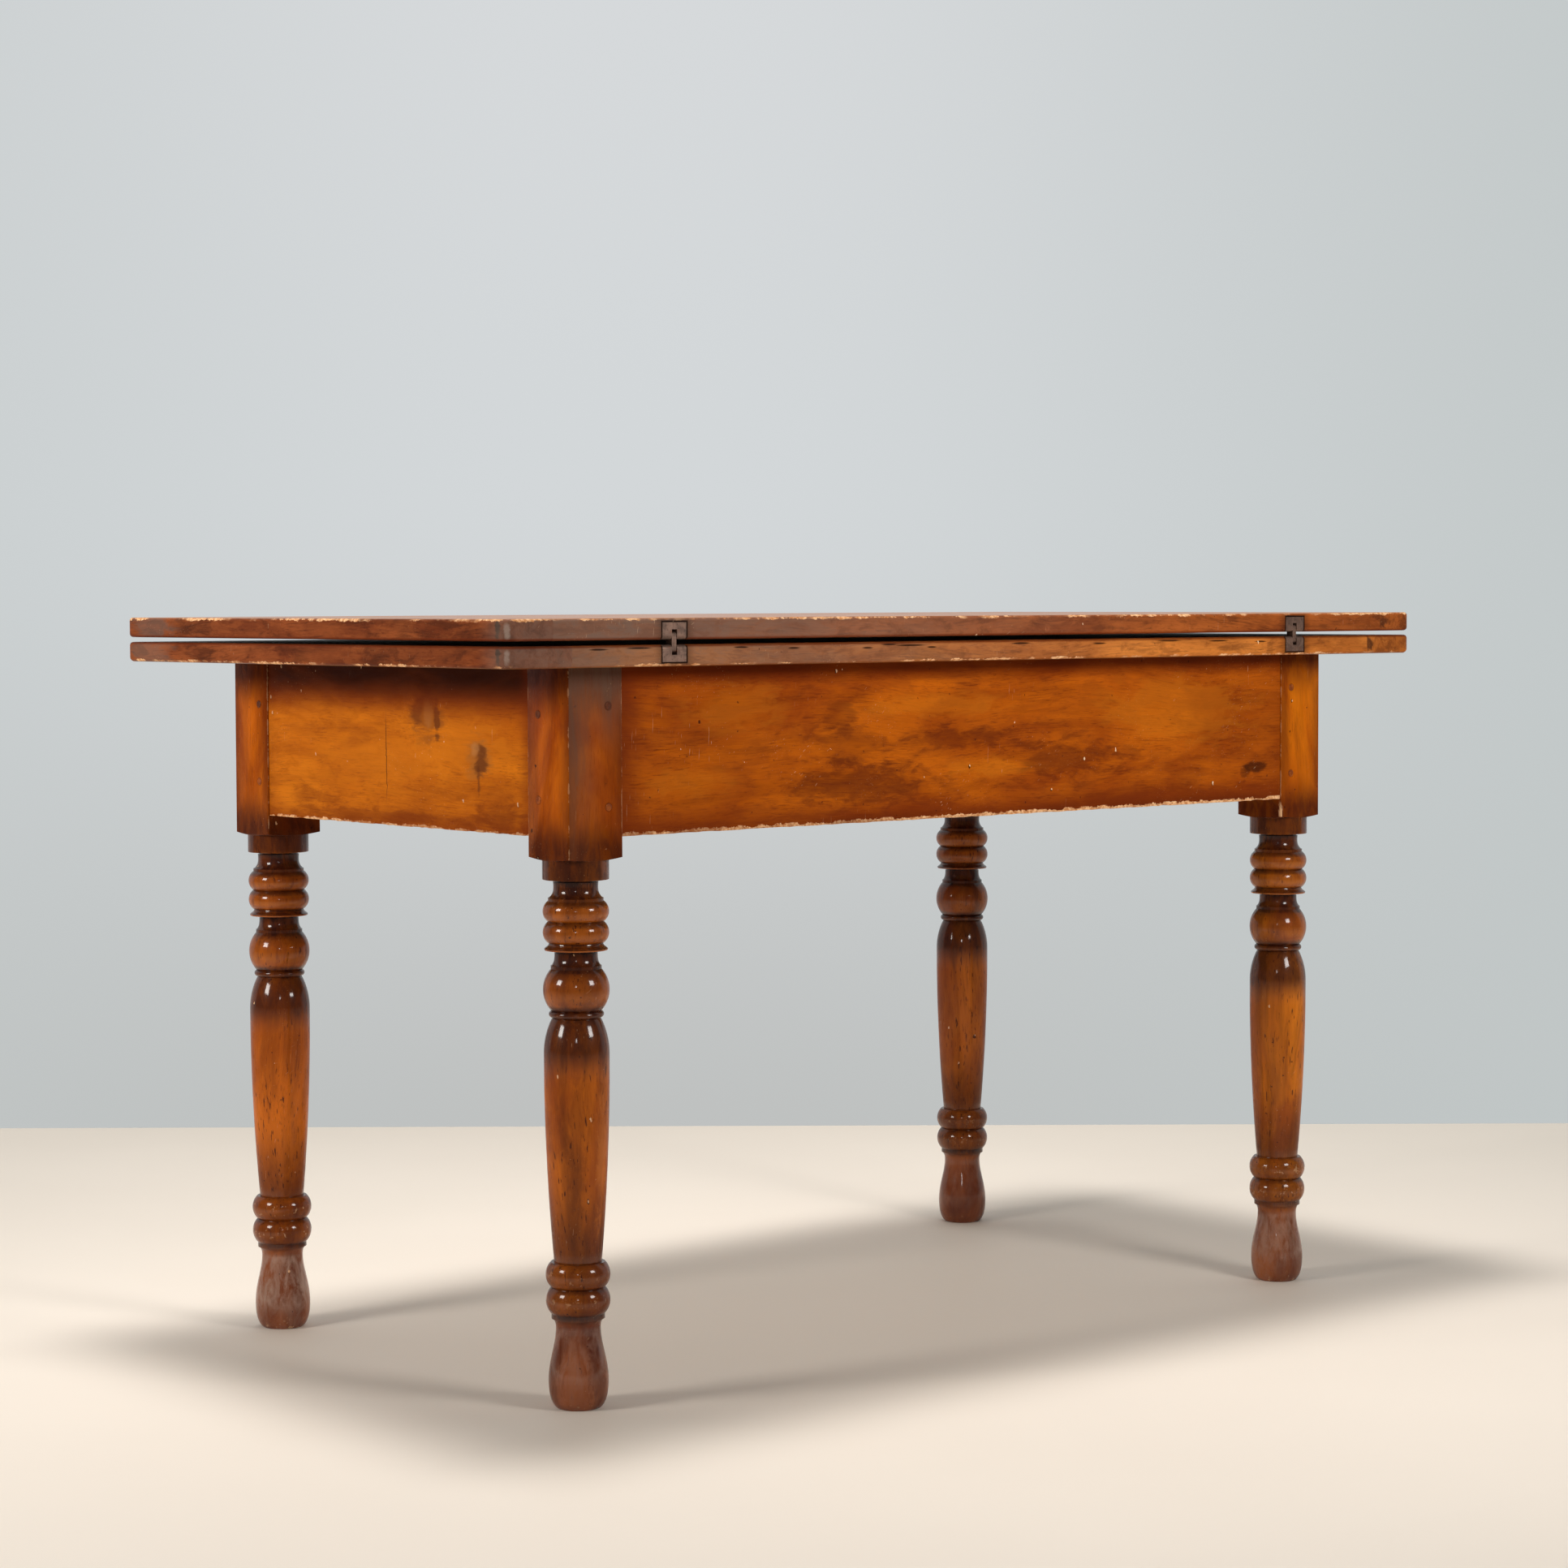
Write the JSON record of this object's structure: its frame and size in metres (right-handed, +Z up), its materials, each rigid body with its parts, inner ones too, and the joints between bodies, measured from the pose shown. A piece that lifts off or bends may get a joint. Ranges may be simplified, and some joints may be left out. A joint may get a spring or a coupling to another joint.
{
  "type": "swivel-top table",
  "caption": "Long table on turned legs: its folded top turns a quarter over a storage well, then opens like a book.",
  "frame": {"origin": "floor level, under the middle of the closed table", "axes": "+X along the length of the closed table, -Y towards the front with the folding edge, +Z up"},
  "size_m": [1.325, 0.705, 0.79],
  "materials": {
    "leg_wood": "dark red-brown shellac, glossy on the turnings",
    "long_apron_wood": "red-brown shellac, cloudy and scratched, satin",
    "end_apron_wood": "amber brown shellac, satin gloss",
    "peg_wood": "dark stained end grain, satin",
    "inner_wood": "raw softwood, matt",
    "lower_leaf_wood": "worn brown shellac, satin",
    "upper_leaf_wood": "worn brown shellac, satin",
    "cleat_wood": "dark worn shellac, satin",
    "old_iron": "forged, dull grey-brown patina",
    "screw_steel": "dull, slightly rusted",
    "brass": "dull"
  },
  "bodies": {
    "frame": {"front_left_leg": "leg_wood", "front_right_leg": "leg_wood", "rear_left_leg": "leg_wood", "rear_right_leg": "leg_wood", "front_apron": "long_apron_wood", "rear_apron": "long_apron_wood", "left_apron": "end_apron_wood", "right_apron": "end_apron_wood", "long_apron_pegs": "peg_wood", "end_apron_pegs": "peg_wood", "front_ledger": "inner_wood", "rear_ledger": "inner_wood", "ledger_nails": "screw_steel", "well_floor_board_1": "inner_wood", "well_floor_board_2": "inner_wood", "well_floor_board_3": "inner_wood", "well_floor_board_4": "inner_wood", "well_floor_board_5": "inner_wood", "pivot_rail": "inner_wood", "pivot_rail_screws": "screw_steel", "pivot_bush": "brass"},
    "lower_leaf": {"lower_leaf_front_board": "lower_leaf_wood", "lower_leaf_middle_board": "lower_leaf_wood", "lower_leaf_rear_board": "lower_leaf_wood", "lower_leaf_left_cleat": "cleat_wood", "lower_leaf_right_cleat": "cleat_wood", "lower_cleat_pegs": "peg_wood", "pivot_plate": "old_iron", "pivot_plate_screws": "screw_steel", "pivot_bolt": "old_iron", "pivot_washer": "old_iron", "pivot_nut": "old_iron", "stop_peg": "peg_wood", "left_hinge_lower_plate": "old_iron", "right_hinge_lower_plate": "old_iron", "lower_hinge_pins": "screw_steel", "lower_hinge_screws": "screw_steel"},
    "hinge_links": {"left_hinge_link": "old_iron", "right_hinge_link": "old_iron"},
    "upper_leaf": {"left_hinge_upper_plate": "old_iron", "right_hinge_upper_plate": "old_iron", "upper_hinge_pins": "screw_steel", "upper_hinge_screws": "screw_steel", "upper_leaf_front_board": "upper_leaf_wood", "upper_leaf_middle_board": "upper_leaf_wood", "upper_leaf_rear_board": "upper_leaf_wood", "upper_leaf_left_cleat": "cleat_wood", "upper_leaf_right_cleat": "cleat_wood", "upper_cleat_pegs": "peg_wood"}
  },
  "joints": [
    {"name": "top_swivel", "type": "hinge", "parent": "frame", "child": "lower_leaf", "pos_m": [-0.17625, -0.17625, 0.73], "axis": [0, 0, 1], "range_deg": [0, 90]},
    {"name": "lower_fold", "type": "hinge", "parent": "lower_leaf", "child": "hinge_links", "pos_m": [0, -0.3463, 0.7595], "axis": [1, 0, 0], "range_deg": [0, 90]},
    {"name": "upper_fold", "type": "hinge", "parent": "hinge_links", "child": "upper_leaf", "pos_m": [0, -0.3463, 0.7725], "axis": [1, 0, 0], "range_deg": [0, 90]}
  ]
}
